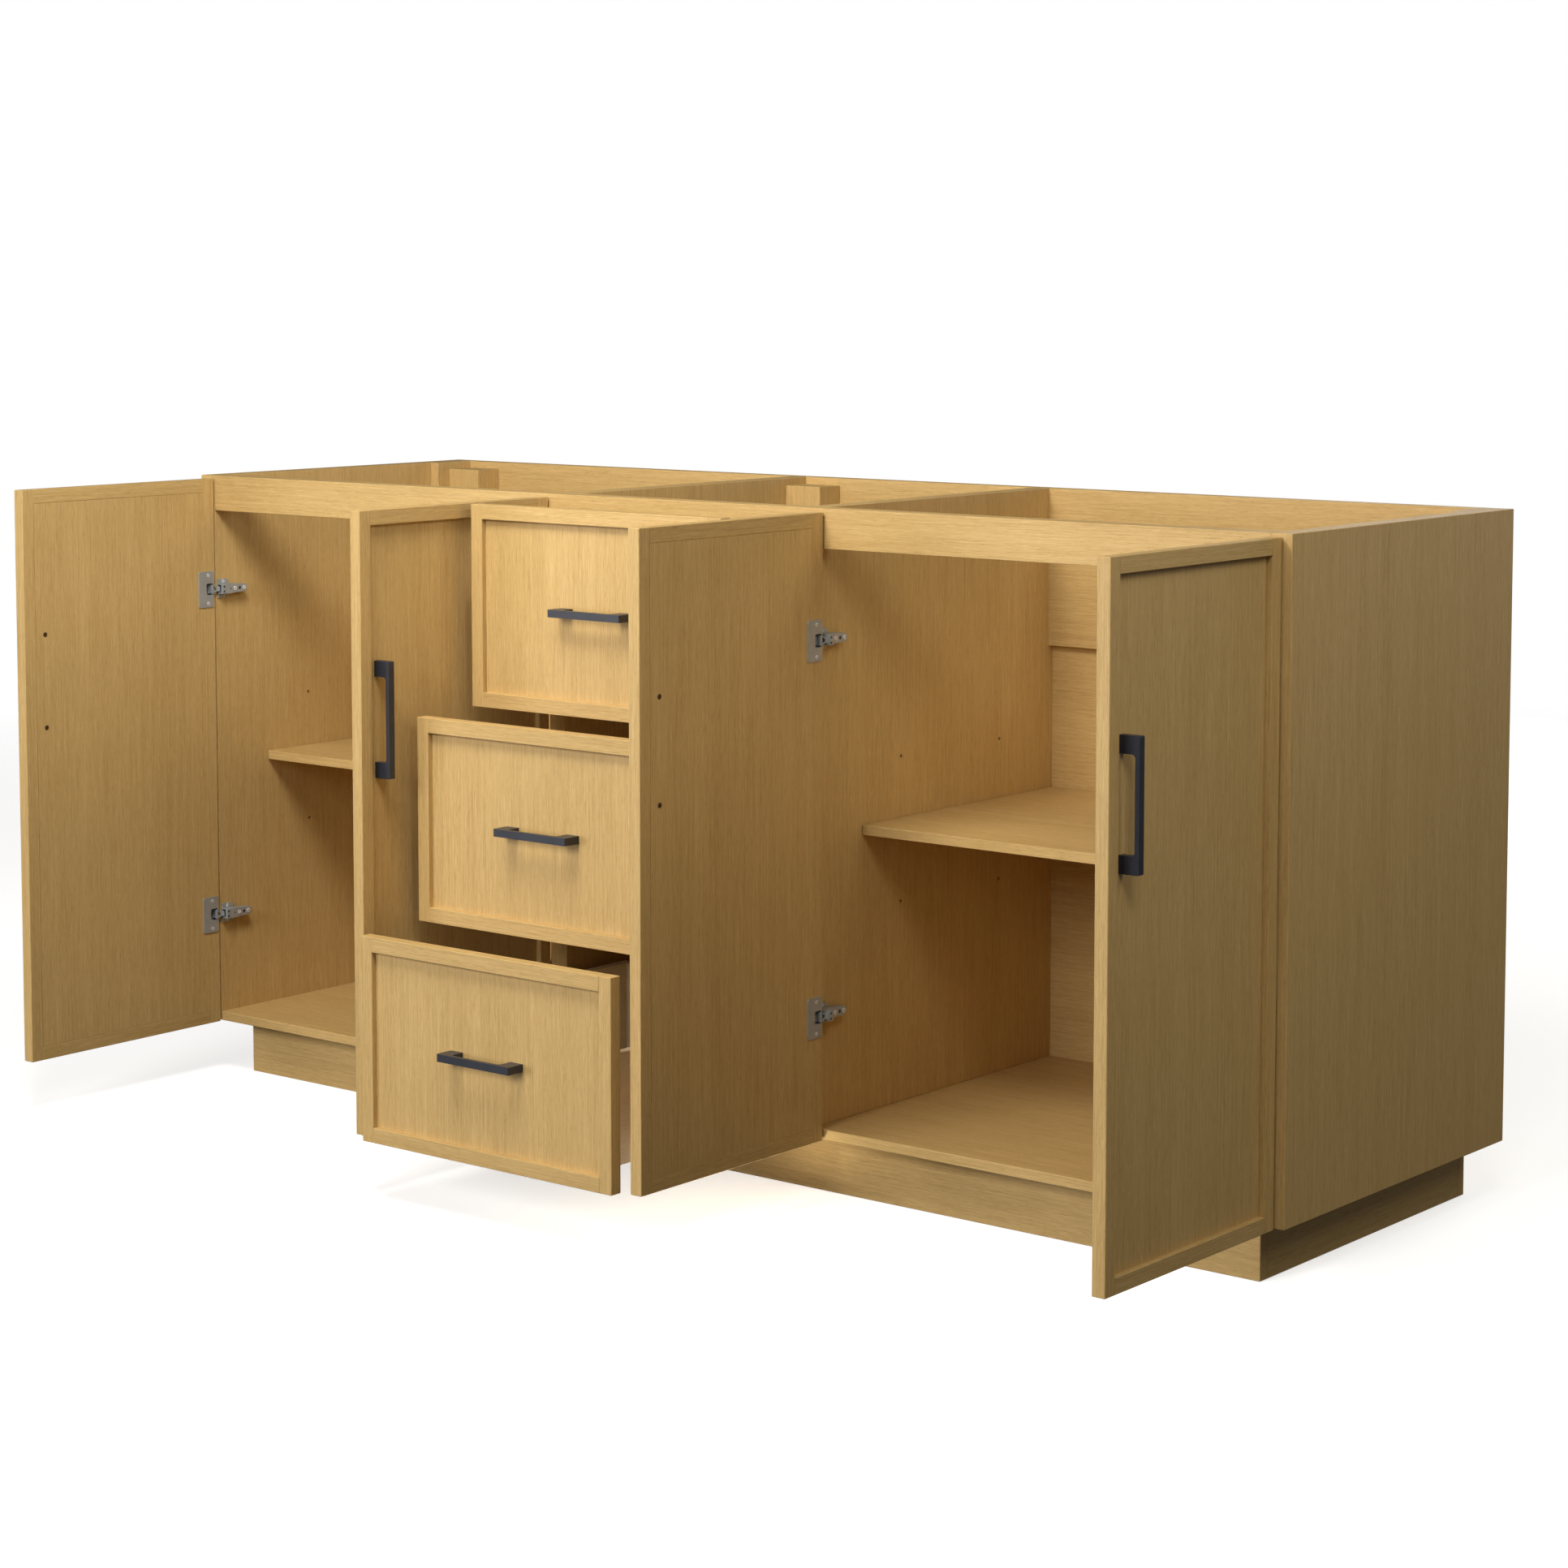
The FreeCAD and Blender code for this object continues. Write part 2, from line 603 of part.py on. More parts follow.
def drawer_slides(name, out, low):
    """The two moving members of each side's full-extension slide."""
    height = span(f"{low} + drawer_rise + slide_above_bottom", "slide_height")
    slim = span(f"{low} + drawer_rise + slide_above_bottom", "slide_slim_height")
    middle_far = f"({DIVIDER_NEAR} - slide_fixed_thick - slide_play)"
    middle_near = f"({middle_far} - slide_middle_thick)"
    inner_far = f"({middle_near} - slide_play)"
    start = f"({FRONT} + slide_setback)"
    middle = []
    inner = []
    fixed = []
    for side in (-1, 1):
        tag = f"{name}_slide_{side + 1}"
        fixed.append(block(f"{tag}_fixed", mirrored(side, f"{DIVIDER_NEAR} - slide_fixed_thick", DIVIDER_NEAR),
                           (start, f"{start} + box_length - slide_setback - slide_end_gap"), height))
        middle.append(block(f"{tag}_middle", mirrored(side, middle_near, middle_far),
                            (f"{start} - {out} / 2", f"{start} - {out} / 2 + box_length - slide_setback - slide_end_gap"), slim))
        inner.append(block(f"{tag}_inner", mirrored(side, BOX_SIDE, inner_far),
                           (f"{start} - {out}", f"{start} - {out} + box_length - slide_setback - slide_end_gap"), slim))
    keep(f"{name}_slide_middle", group(f"{name}_slide_middle", middle))
    keep(f"{name}_slide_inner", group(f"{name}_slide_inner", inner))
    return fixed


def drawers():
    fixed = []
    for drawer, (out, level) in DRAWERS.items():
        name = f"drawer_{drawer}"
        low = f"(front_bottom + {level} * ({DRAWER_HEIGHT} + front_reveal))"
        back_of_front = f"({FRONT} - front_gap - {out})"
        drawer_front(name, f"({back_of_front} - front_thick)", low)
        drawer_box(name, back_of_front, low)
        fixed += drawer_slides(name, out, low)
        bar = pull(f"{name}_pull_bar", "drawer_pull_length")
        bar.Placement.Rotation = FreeCAD.Rotation(FreeCAD.Vector(-1, 0, 0), FreeCAD.Vector(0, -1, 0),
                                                  FreeCAD.Vector(0, 0, 1), "XYZ")
        place(bar, "drawer_pull_length / 2", f"{back_of_front} - field_thick",
              f"{low} + {DRAWER_HEIGHT} / 2 - pull_width / 2")
        keep(f"{name}_pull", bar)
    keep("drawer_slide_rails", group("drawer_slide_rails", fixed))


def write_parts():
    """Check every object, then write one STEP file per node."""
    doc.recompute()
    failed = [item.Name for item in doc.Objects if "Invalid" in item.State or "Error" in item.State]
    if failed:
        raise RuntimeError(f"objects failed to compute: {failed}")
    for name, item in nodes.items():
        if item.Shape.isNull() or not item.Shape.isValid() or not item.Shape.Solids:
            raise RuntimeError(f"{name} has no valid solid")
    os.makedirs("parts", exist_ok=True)
    for name, item in nodes.items():
        item.Shape.exportStep(f"parts/{name}.step")
    print(f"{len(nodes)} nodes, {sum(len(item.Shape.Solids) for item in nodes.values())} solids")


case_panels()
case_stiffeners()
toe_kick()
shelves()
doors()
drawers()
write_parts()
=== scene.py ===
"""Looks of the bathroom vanity cabinet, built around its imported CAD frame."""
import math

import bmesh
import bpy
from mathutils import Euler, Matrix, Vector


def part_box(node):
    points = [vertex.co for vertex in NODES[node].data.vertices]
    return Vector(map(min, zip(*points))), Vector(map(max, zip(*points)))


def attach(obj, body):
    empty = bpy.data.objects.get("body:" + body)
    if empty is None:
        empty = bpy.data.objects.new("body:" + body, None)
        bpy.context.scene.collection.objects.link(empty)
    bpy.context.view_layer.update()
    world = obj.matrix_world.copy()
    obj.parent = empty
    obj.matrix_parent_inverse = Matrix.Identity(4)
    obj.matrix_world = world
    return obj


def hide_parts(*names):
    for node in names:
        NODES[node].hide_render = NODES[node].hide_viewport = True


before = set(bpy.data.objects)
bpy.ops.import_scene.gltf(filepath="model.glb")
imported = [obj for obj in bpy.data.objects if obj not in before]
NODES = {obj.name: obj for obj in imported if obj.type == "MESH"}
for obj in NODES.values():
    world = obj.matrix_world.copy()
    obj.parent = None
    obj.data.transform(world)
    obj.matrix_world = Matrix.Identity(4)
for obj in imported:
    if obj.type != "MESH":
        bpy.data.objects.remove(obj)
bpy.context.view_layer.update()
MM = 0.001
LEFT_HINGED = ("1", "3")  # the doors whose bay lies towards +X from their hinges

# ---------------------------------------------------------------- shader helpers


def new_material(name):
    """An empty node material with its principled shader, and the tools to add nodes to it."""
    material = bpy.data.materials.new(name)
    material.use_nodes = True
    tree = material.node_tree
    tree.nodes.clear()
    output = tree.nodes.new("ShaderNodeOutputMaterial")
    shader = tree.nodes.new("ShaderNodeBsdfPrincipled")
    tree.links.new(shader.outputs["BSDF"], output.inputs["Surface"])
    return material, tree, shader


def link(tree, source, target):
    """Links an output to an input, or sets the input to a plain value."""
    if isinstance(source, bpy.types.NodeSocket):
        tree.links.new(source, target)
    else:
        target.default_value = source


def math_node(tree, operation, *values, clamp=False):
    node = tree.nodes.new("ShaderNodeMath")
    node.operation = operation
    node.use_clamp = clamp
    for socket, value in zip(node.inputs, values):
        link(tree, value, socket)
    return node.outputs[0]


def vector_node(tree, operation, a, b):
    node = tree.nodes.new("ShaderNodeVectorMath")
    node.operation = operation
    link(tree, a, node.inputs[0])
    link(tree, b, node.inputs[1])
    return node.outputs[0]


def noise(tree, vector, detail=2.0, roughness=0.5):
    """Noise with one feature per unit of the given vector, from 0 to 1."""
    node = tree.nodes.new("ShaderNodeTexNoise")
    node.inputs["Scale"].default_value = 1.0
    node.inputs["Detail"].default_value = detail
    node.inputs["Roughness"].default_value = roughness
    link(tree, vector, node.inputs["Vector"])
    return node.outputs["Fac"]


def remap(tree, value, low, high, to_low=0.0, to_high=1.0):
    node = tree.nodes.new("ShaderNodeMapRange")
    for socket, number in zip(node.inputs, (value, low, high, to_low, to_high)):
        link(tree, number, socket)
    return node.outputs[0]


def mix_colours(tree, factor, a, b):
    node = tree.nodes.new("ShaderNodeMix")
    node.data_type = "RGBA"
    link(tree, factor, node.inputs[0])
    link(tree, a, node.inputs[6])
    link(tree, b, node.inputs[7])
    return node.outputs[2]


def mix_values(tree, factor, a, b):
    node = tree.nodes.new("ShaderNodeMix")
    link(tree, factor, node.inputs[0])
    link(tree, a, node.inputs[2])
    link(tree, b, node.inputs[3])
    return node.outputs[0]


def mix_vectors(tree, factor, a, b):
    node = tree.nodes.new("ShaderNodeMix")
    node.data_type = "VECTOR"
    link(tree, factor, node.inputs[0])
    link(tree, a, node.inputs[4])
    link(tree, b, node.inputs[5])
    return node.outputs[1]


def ramp(tree, value, stops):
    node = tree.nodes.new("ShaderNodeValToRGB")
    elements = node.color_ramp.elements
    while len(elements) < len(stops):
        elements.new(0.5)
    for element, (position, colour) in zip(elements, stops):
        element.position = position
        element.color = (*colour, 1.0)
    link(tree, value, node.inputs[0])
    return node.outputs[0]


def bump(tree, height, distance, strength):
    node = tree.nodes.new("ShaderNodeBump")
    node.inputs["Strength"].default_value = strength
    node.inputs["Distance"].default_value = distance
    link(tree, height, node.inputs["Height"])
    return node.outputs[0]


def place_in(tree):
    """The point on the piece, in metres, as it is at rest, so that the pattern moves with it."""
    return tree.nodes.new("ShaderNodeTexCoord").outputs["Object"]


def split(tree, vector):
    node = tree.nodes.new("ShaderNodeSeparateXYZ")
    link(tree, vector, node.inputs[0])
    return node.outputs


def join(tree, x, y, z):
    node = tree.nodes.new("ShaderNodeCombineXYZ")
    for socket, value in zip(node.inputs, (x, y, z)):
        link(tree, value, socket)
    return node.outputs[0]


# ---------------------------------------------------------------- wood

def along(tree, point, grain):
    """The point with the grain's direction turned to the third place."""
    x, y, z = split(tree, point)
    order = {"x": (y, z, x), "y": (z, x, y), "z": (x, y, z)}[grain]
    return join(tree, *order)


def between(tree, value, low, high):
    """1 where the value lies between low and high, else 0."""
    above = math_node(tree, "GREATER_THAN", value, low)
    below = math_node(tree, "LESS_THAN", value, high)
    return math_node(tree, "MULTIPLY", above, below)


def veneer(name, tones, grain, seed, rails=None, contrast=1.0, rough=0.46):
    """Straight-grained veneer. tones are its dark, middle and light colour. rails, if given, is
    (axis of the stiles' spread, low, high, z low, z high, grain): outside the z range and between the
    stiles the grain runs across."""
    material, tree, shader = new_material(name)
    point = place_in(tree)
    line = along(tree, point, grain)
    if rails:
        axis, low, high, z_low, z_high, cross = rails
        spread = split(tree, point)["XYZ".index(axis.upper())]
        height = split(tree, point)[2]
        inside = between(tree, spread, low, high)
        middle = between(tree, height, z_low, z_high)
        rail = math_node(tree, "MULTIPLY", inside, math_node(tree, "SUBTRACT", 1.0, middle))
        line = mix_vectors(tree, rail, line, along(tree, point, cross))
    line = vector_node(tree, "ADD", line, (0.37 * seed, 0.61 * seed, 0.83 * seed))

    def layer(across, length, detail, roughness=0.5):
        """Noise with features this wide and this long, in metres."""
        scaled = vector_node(tree, "MULTIPLY", line, (1 / across, 1 / across, 1 / length))
        return noise(tree, scaled, detail, roughness)

    sway = math_node(tree, "MULTIPLY", math_node(tree, "SUBTRACT", layer(0.12, 0.5, 1.0), 0.5), 0.005)
    line = vector_node(tree, "ADD", line, join(tree, sway, sway, 0.0))
    broad = layer(0.030, 1.6, 2.0)
    streaks = layer(0.0019, 0.11, 3.0, 0.65)
    dashes = layer(0.0010, 0.018, 2.0, 0.6)
    pores = remap(tree, layer(0.0008, 0.009, 1.0), 0.60, 0.70)
    flecks = remap(tree, layer(0.0014, 0.030, 1.0), 0.60, 0.74)

    tone = math_node(tree, "MULTIPLY", math_node(tree, "SUBTRACT", broad, 0.5), 0.55 * contrast)
    tone = math_node(tree, "MULTIPLY_ADD", math_node(tree, "SUBTRACT", streaks, 0.5), 1.5 * contrast, tone)
    tone = math_node(tree, "MULTIPLY_ADD", math_node(tree, "SUBTRACT", dashes, 0.5), 1.2 * contrast, tone)
    tone = math_node(tree, "MULTIPLY_ADD", pores, -0.35 * contrast, tone)
    tone = math_node(tree, "MULTIPLY_ADD", flecks, 0.30 * contrast, tone)
    tone = math_node(tree, "ADD", tone, 0.5, clamp=True)
    dark, middle_tone, light = tones
    colour = ramp(tree, tone, ((0.0, dark), (0.5, middle_tone), (1.0, light)))
    link(tree, colour, shader.inputs["Base Color"])
    link(tree, remap(tree, tone, 0.0, 1.0, rough + 0.08, rough - 0.06), shader.inputs["Roughness"])
    relief = math_node(tree, "MULTIPLY_ADD", pores, -0.8, streaks)
    link(tree, bump(tree, relief, 0.00025, 0.35), shader.inputs["Normal"])
    shader.inputs["Specular IOR Level"].default_value = 0.35
    return material


OAK = ((0.42, 0.262, 0.093), (0.56, 0.368, 0.140), (0.68, 0.475, 0.210))
BIRCH = ((0.66, 0.52, 0.33), (0.78, 0.64, 0.43), (0.86, 0.73, 0.52))
OAK_CONTRAST = 0.72


PLY_THICKNESS = 2.6 * MM
BOX_SIDE_THICKNESS = 12.1 * MM
EDGE_BAND = 4 * MM
GLUE_LINE = (0.40, 0.27, 0.13, 1.0)


def plywood(name, seed, top):
    """Pale drawer-box plywood, whose upright cut edges show its layers. top is the box's highest corner."""
    material = veneer(name, BIRCH, "y", seed, contrast=0.6, rough=0.42)
    tree = material.node_tree
    shader = next(node for node in tree.nodes if node.type == "BSDF_PRINCIPLED")
    face = shader.inputs["Base Color"].links[0].from_socket
    x, y, z = split(tree, place_in(tree))
    normal = tree.nodes.new("ShaderNodeTexCoord").outputs["Normal"]
    upward = math_node(tree, "GREATER_THAN", split(tree, normal)[2], 0.5)
    near_top = math_node(tree, "GREATER_THAN", z, top.z - EDGE_BAND)
    side = math_node(tree, "GREATER_THAN", math_node(tree, "ABSOLUTE", x), top.x - BOX_SIDE_THICKNESS)
    depth = mix_values(tree, side, y, x)
    layers = math_node(tree, "SINE", math_node(tree, "MULTIPLY", depth, 2 * math.pi / PLY_THICKNESS))
    glue = remap(tree, layers, 0.2, 0.9, 0.0, 0.55)
    edge = math_node(tree, "MULTIPLY", math_node(tree, "MULTIPLY", upward, near_top), glue)
    link(tree, mix_colours(tree, edge, face, GLUE_LINE), shader.inputs["Base Color"])
    return material


def black_metal(name):
    """Powder-coated metal, blue-black, with a faint orange-peel surface."""
    material, tree, shader = new_material(name)
    point = place_in(tree)
    peel = noise(tree, vector_node(tree, "MULTIPLY", point, (1100, 1100, 1100)), 2.0)
    cloud = noise(tree, vector_node(tree, "MULTIPLY", point, (60, 60, 60)), 3.0)
    colour = ramp(tree, cloud, ((0.25, (0.018, 0.021, 0.032)), (0.75, (0.026, 0.030, 0.044))))
    link(tree, colour, shader.inputs["Base Color"])
    link(tree, remap(tree, peel, 0.3, 0.7, 0.34, 0.44), shader.inputs["Roughness"])
    link(tree, bump(tree, peel, 0.00006, 0.4), shader.inputs["Normal"])
    shader.inputs["Specular IOR Level"].default_value = 0.5
    return material


def nickel(name, tone=(0.41, 0.435, 0.45), rough=0.36):
    """Satin nickel plating, lightly brushed."""
    material, tree, shader = new_material(name)
    point = place_in(tree)
    brushed = noise(tree, vector_node(tree, "MULTIPLY", point, (2600, 300, 300)), 2.0, 0.7)
    cloud = noise(tree, vector_node(tree, "MULTIPLY", point, (90, 90, 90)), 3.0)
    dark = tuple(0.86 * c for c in tone)
    colour = ramp(tree, cloud, ((0.2, dark), (0.8, tone)))
    link(tree, colour, shader.inputs["Base Color"])
    shader.inputs["Metallic"].default_value = 0.35
    link(tree, remap(tree, brushed, 0.3, 0.7, rough - 0.06, rough + 0.08), shader.inputs["Roughness"])
    link(tree, bump(tree, brushed, 0.00003, 0.3), shader.inputs["Normal"])
    return material


# ---------------------------------------------------------------- materials on the CAD nodes

def assign(node, material):
    data = NODES[node].data
    data.materials.clear()
    data.materials.append(material)


def rails_of(node, axis):
    """Where a framed front's rails lie, as veneer takes it. axis is the direction of its width."""
    low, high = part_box(node)
    left, right = getattr(low, axis) + FRAME_WIDTH, getattr(high, axis) - FRAME_WIDTH
    return (axis, left, right, low.z + FRAME_WIDTH, high.z - FRAME_WIDTH, axis)


FRAME_WIDTH = 19 * MM
GRAIN_ALONG_X = ("front_top_rail", "back_top_board", "back_panel", "bottom_panel",
                 "shelf_left", "shelf_right", "toe_kick_front", "toe_kick_back")
GRAIN_ALONG_Y = ("toe_kick_sides", "toe_kick_rails")
BLACK = black_metal("black_powder_coat")
NICKEL = nickel("satin_nickel")
SCREW_STEEL = nickel("screw_steel", (0.80, 0.80, 0.80), 0.28)

for order, node in enumerate(sorted(NODES)):
    seed = order + 1
    if node.endswith("_pull"):
        assign(node, BLACK)
    elif any(word in node for word in ("hinge_", "screw", "slide", "shelf_pins")):
        assign(node, NICKEL)
    elif node.endswith("_box"):
        assign(node, plywood(f"birch_{node}", seed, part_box(node)[1]))
    elif node.endswith("_frame"):
        assign(node, veneer(f"oak_{node}", OAK, "z", seed, rails_of(node, "y"), OAK_CONTRAST))
    elif node.endswith("_front") and node.startswith("drawer"):
        assign(node, veneer(f"oak_{node}", OAK, "z", seed, rails_of(node, "x"), OAK_CONTRAST))
    else:
        grain = "x" if node in GRAIN_ALONG_X else "y" if node in GRAIN_ALONG_Y else "z"
        assign(node, veneer(f"oak_{node}", OAK, grain, seed, contrast=OAK_CONTRAST))


# ---------------------------------------------------------------- hardware details

def new_piece(name, mesh, material, body, bevel=0.0):
    """Turns finished mesh work into a piece that rides on a body."""
    bmesh.ops.remove_doubles(mesh, verts=mesh.verts, dist=1e-6)
    bmesh.ops.recalc_face_normals(mesh, faces=mesh.faces)
    data = bpy.data.meshes.new(name)
    mesh.to_mesh(data)
    mesh.free()
    data.materials.append(material)
    piece = bpy.data.objects.new(name, data)
    bpy.context.scene.collection.objects.link(piece)
    if bevel:
        rounding = piece.modifiers.new("edges", "BEVEL")
        rounding.width = bevel
        rounding.segments = 2
        rounding.limit_method = "ANGLE"
        rounding.angle_limit = math.radians(40)
    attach(piece, body)
    return piece


def rounded(low, high, radius, steps=4):
    """A rectangle's outline with round corners, from its low to its high corner."""
    points = []
    left, right = low[0] + radius, high[0] - radius
    bottom, top = low[1] + radius, high[1] - radius
    for quarter, (cx, cy) in enumerate(((right, top), (left, top), (left, bottom), (right, bottom))):
        for step in range(steps + 1):
            angle = math.pi / 2 * (quarter + step / steps)
            points.append((cx + radius * math.cos(angle), cy + radius * math.sin(angle)))
    return points


def slab(mesh, outline, low, high, place, hole=None):
    """An outline thickened from low to high. hole is a second outline with as many points, left open.
    place turns (across, up, depth) into a point of the object."""
    def ring(points, depth):
        return [mesh.verts.new(place(a, b, depth)) for a, b in points]

    count = len(outline)
    outer = [ring(outline, depth) for depth in (low, high)]
    walls = [outer]
    if hole is None:
        for loop in outer:
            mesh.faces.new(loop)
    else:
        inner = [ring(hole, depth) for depth in (low, high)]
        walls.append(inner)
        for loop, gap in zip(outer, inner):
            for i in range(count):
                j = (i + 1) % count
                mesh.faces.new((loop[i], loop[j], gap[j], gap[i]))
    for a, b in walls:
        for i in range(count):
            j = (i + 1) % count
            mesh.faces.new((a[i], a[j], b[j], b[i]))


def screw_head(mesh, centre, outward, radius, height):
    """A low domed head with a cross recess."""
    turn = outward.to_track_quat("Z", "Y").to_matrix()
    rings, segments = 9, 40
    rim_share, dome_share = 0.55, 0.45
    arm_half_width, arm_reach, arm_depth = 0.17 * radius, 0.66, 0.9 * height

    def vertex(x, y, lift):
        return mesh.verts.new(centre + turn @ Vector((x, y, lift)))

    def around(k):
        return 2 * math.pi * (k + 0.5) / segments

    rows = []
    for r in range(rings):
        share = 1 - r / (rings - 1)
        row = []
        for k in range(segments if r < rings - 1 else 1):
            x, y = radius * share * math.cos(around(k)), radius * share * math.sin(around(k))
            lift = height * (rim_share + dome_share * math.cos(share * math.pi / 2) ** 0.7)
            if min(abs(x), abs(y)) < arm_half_width and share < arm_reach:
                lift -= arm_depth
            row.append(vertex(x, y, lift))
        rows.append(row)
    foot = [vertex(radius * math.cos(around(k)), radius * math.sin(around(k)), 0) for k in range(segments)]
    for near, far in zip([foot] + rows[:-2], rows[:-1]):
        for k in range(segments):
            j = (k + 1) % segments
            mesh.faces.new((near[k], near[j], far[j], far[k]))
    for k in range(segments):
        mesh.faces.new((rows[-2][k], rows[-2][(k + 1) % segments], rows[-1][0]))


def solids_of(node):
    """The boxes of the separate solids in a CAD node: a list of (low, high) corners."""
    data = NODES[node].data
    parent = list(range(len(data.vertices)))

    def root(i):
        while parent[i] != i:
            parent[i] = parent[parent[i]]
            i = parent[i]
        return i

    seen = {}
    for vertex in data.vertices:
        key = tuple(round(c, 6) for c in vertex.co)
        parent[root(vertex.index)] = root(seen.setdefault(key, vertex.index))
    for edge in data.edges:
        parent[root(edge.vertices[0])] = root(edge.vertices[1])
    groups = {}
    for vertex in data.vertices:
        groups.setdefault(root(vertex.index), []).append(vertex.co)
    boxes = []
    for points in groups.values():
        boxes.append((Vector([min(p[i] for p in points) for i in range(3)]),
                      Vector([max(p[i] for p in points) for i in range(3)])))
    return boxes


CUP_SCREW_LIMIT = 1.0 * MM  # only the cups' screws stand lower than this
CUP_SCREW_LIFT = 0.1 * MM
CUP_SCREW_HEIGHT = 0.8 * MM


def bay_direction(x):
    """1 where the bay lies towards +X from the hinge wall at x, and -1 where it lies towards -X."""
    is_divider = abs(x) < 0.5
    return math.copysign(1, x) * (1 if is_divider else -1)


def door_direction(door):
    """1 where the open door's inner face looks towards +X, and -1 where it looks towards -X."""
    return 1 if door in LEFT_HINGED else -1


def outward_of(node, centre, axis):
    """Which way a screw head faces along its axis."""
    if node == "hinge_arm_screws":
        return bay_direction(centre.x)
    if axis == 1:
        return 1
    return door_direction(node.split("_")[1])


def screws_from(node, name, body):
    """Detailed heads in place of a node's plain ones: bright hinge screws, and dark screws for the pulls."""
    bright, dark = bmesh.new(), bmesh.new()
    for low, high in solids_of(node):
        size = high - low
        axis = min(range(3), key=lambda i: size[i])
        centre = (low + high) / 2
        outward = Vector((0, 0, 0))
        outward[axis] = outward_of(node, centre, axis)
        base = centre.copy()
        base[axis] = low[axis] if outward[axis] > 0 else high[axis]
        height = size[axis]
        in_a_cup = height < CUP_SCREW_LIMIT
        if in_a_cup:  # seated on the thicker flange
            base += CUP_SCREW_LIFT * outward
            height = CUP_SCREW_HEIGHT
        is_for_a_pull = node != "hinge_arm_screws" and not in_a_cup
        screw_head(dark if is_for_a_pull else bright, base, outward, max(size) / 2, height)
    piece = new_piece(name, bright, SCREW_STEEL, body)
    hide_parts(node)
    if dark.verts:
        new_piece(f"{body}_pull_screw_heads", dark, DARK_SCREW, body)
    else:
        dark.free()


# Black for the thin discs of painted shade that stand in for the hinge arms' screw holes.
HOLE_SHADE = black_metal("painted_hole_shade")
DARK_SCREW = nickel("bronzed_screw", (0.10, 0.05, 0.02), 0.45)
for door in "1234":
    screws_from(f"door_{door}_screws", f"door_{door}_screw_heads", f"door_{door}")
screws_from("hinge_arm_screws", "hinge_arm_screw_heads", "case")


FLANGE_THICK = 1.2 * MM
FLANGE_PROUD = 0.2 * MM
CUP_FLOOR = 9.0 * MM
CUP_SKIN = 0.6 * MM


def hinge_cup(door):
    """Two flanges with round corners and a mouth, over their pressed cups."""
    node = f"door_{door}_hinge_cups"
    mesh = bmesh.new()
    inward = door_direction(door)
    for low, high in solids_of(node):
        face = high.x if inward > 0 else low.x

        def place(y, z, depth):
            return (face - inward * depth, y, z)

        middle = (low.z + high.z) / 2
        edge = high.y

        def pocket(length, half_height):
            low_corner = (edge - length, middle - half_height)
            high_corner = (edge - 1.2 * MM, middle + half_height)
            return rounded(low_corner, high_corner, 2.0 * MM)

        outline = rounded((low.y, low.z), (high.y, high.z), 3 * MM)
        slab(mesh, outline, -FLANGE_PROUD, FLANGE_THICK, place, pocket(14.0 * MM, 8.2 * MM))
        deep = pocket(15.0 * MM, 9.2 * MM)
        slab(mesh, deep, CUP_FLOOR - CUP_SKIN, CUP_FLOOR, place)
        top = [mesh.verts.new(place(y, z, FLANGE_THICK)) for y, z in deep]
        bottom = [mesh.verts.new(place(y, z, CUP_FLOOR)) for y, z in deep]
        for i in range(len(deep)):
            j = (i + 1) % len(deep)
            mesh.faces.new((top[i], top[j], bottom[j], bottom[i]))
    piece = new_piece(f"door_{door}_hinge_cup_detail", mesh, NICKEL, f"door_{door}", 0.25 * MM)
    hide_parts(node)


BARREL_RADIUS = 1.5 * MM
TAIL_LENGTH = 6.5 * MM
FAN_WIDE, FAN_NARROW = 6.5 * MM, 3.4 * MM  # half heights at the cup and at the arm


def hinge_fan(door):
    """Pressed links: a barrel in the cup, a riser, and a fan with a window that narrows to the arm."""
    node = f"door_{door}_hinge_links"
    mesh = bmesh.new()
    inward = door_direction(door)
    for low, high in solids_of(node):
        start = low.x if inward > 0 else high.x
        middle = (low.z + high.z) / 2
        front, back = low.y, high.y
        half = (high.z - low.z) / 2
        far = abs(high.x - low.x)
        skin = far - TAIL_LENGTH

        def upright(depth, y, z):
            return (start + inward * depth, y, z)

        def facing(y, z, depth):
            return (start + inward * depth, y, z)

        def trapezium(y_wide, wide, y_narrow, narrow):
            return [(y_wide, middle - wide), (y_narrow, middle - narrow),
                    (y_narrow, middle + narrow), (y_wide, middle + wide)]

        ring = [(BARREL_RADIUS + BARREL_RADIUS * math.cos(k * math.pi / 8),
                 front + BARREL_RADIUS + BARREL_RADIUS * math.sin(k * math.pi / 8)) for k in range(16)]
        slab(mesh, ring, middle - half, middle + half, upright)
        riser = [(BARREL_RADIUS, front + 0.8 * MM), (skin + 1.4 * MM, front + 0.8 * MM),
                 (skin + 1.4 * MM, front + 2.2 * MM), (BARREL_RADIUS, front + 2.2 * MM)]
        slab(mesh, riser, middle - half + 0.2 * MM, middle + half - 0.2 * MM, upright)
        fan = trapezium(front + 0.7 * MM, FAN_WIDE, back, FAN_NARROW)
        window = trapezium(front + 1.9 * MM, 4.6 * MM, back - 1.9 * MM, 1.2 * MM)
        slab(mesh, fan, skin, skin + 1.5 * MM, facing, window)
        tail = trapezium(back - 1.2 * MM, FAN_NARROW, back, FAN_NARROW)
        slab(mesh, tail, skin + 0.2 * MM, far, facing)
    piece = new_piece(f"door_{door}_hinge_fan", mesh, NICKEL, f"door_{door}_links", 0.2 * MM)
    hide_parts(node)


def both_ways(points):
    """A closed outline from its upper half: the points, then the same ones mirrored, in reverse."""
    return points + [(a, -b) for a, b in reversed(points)]


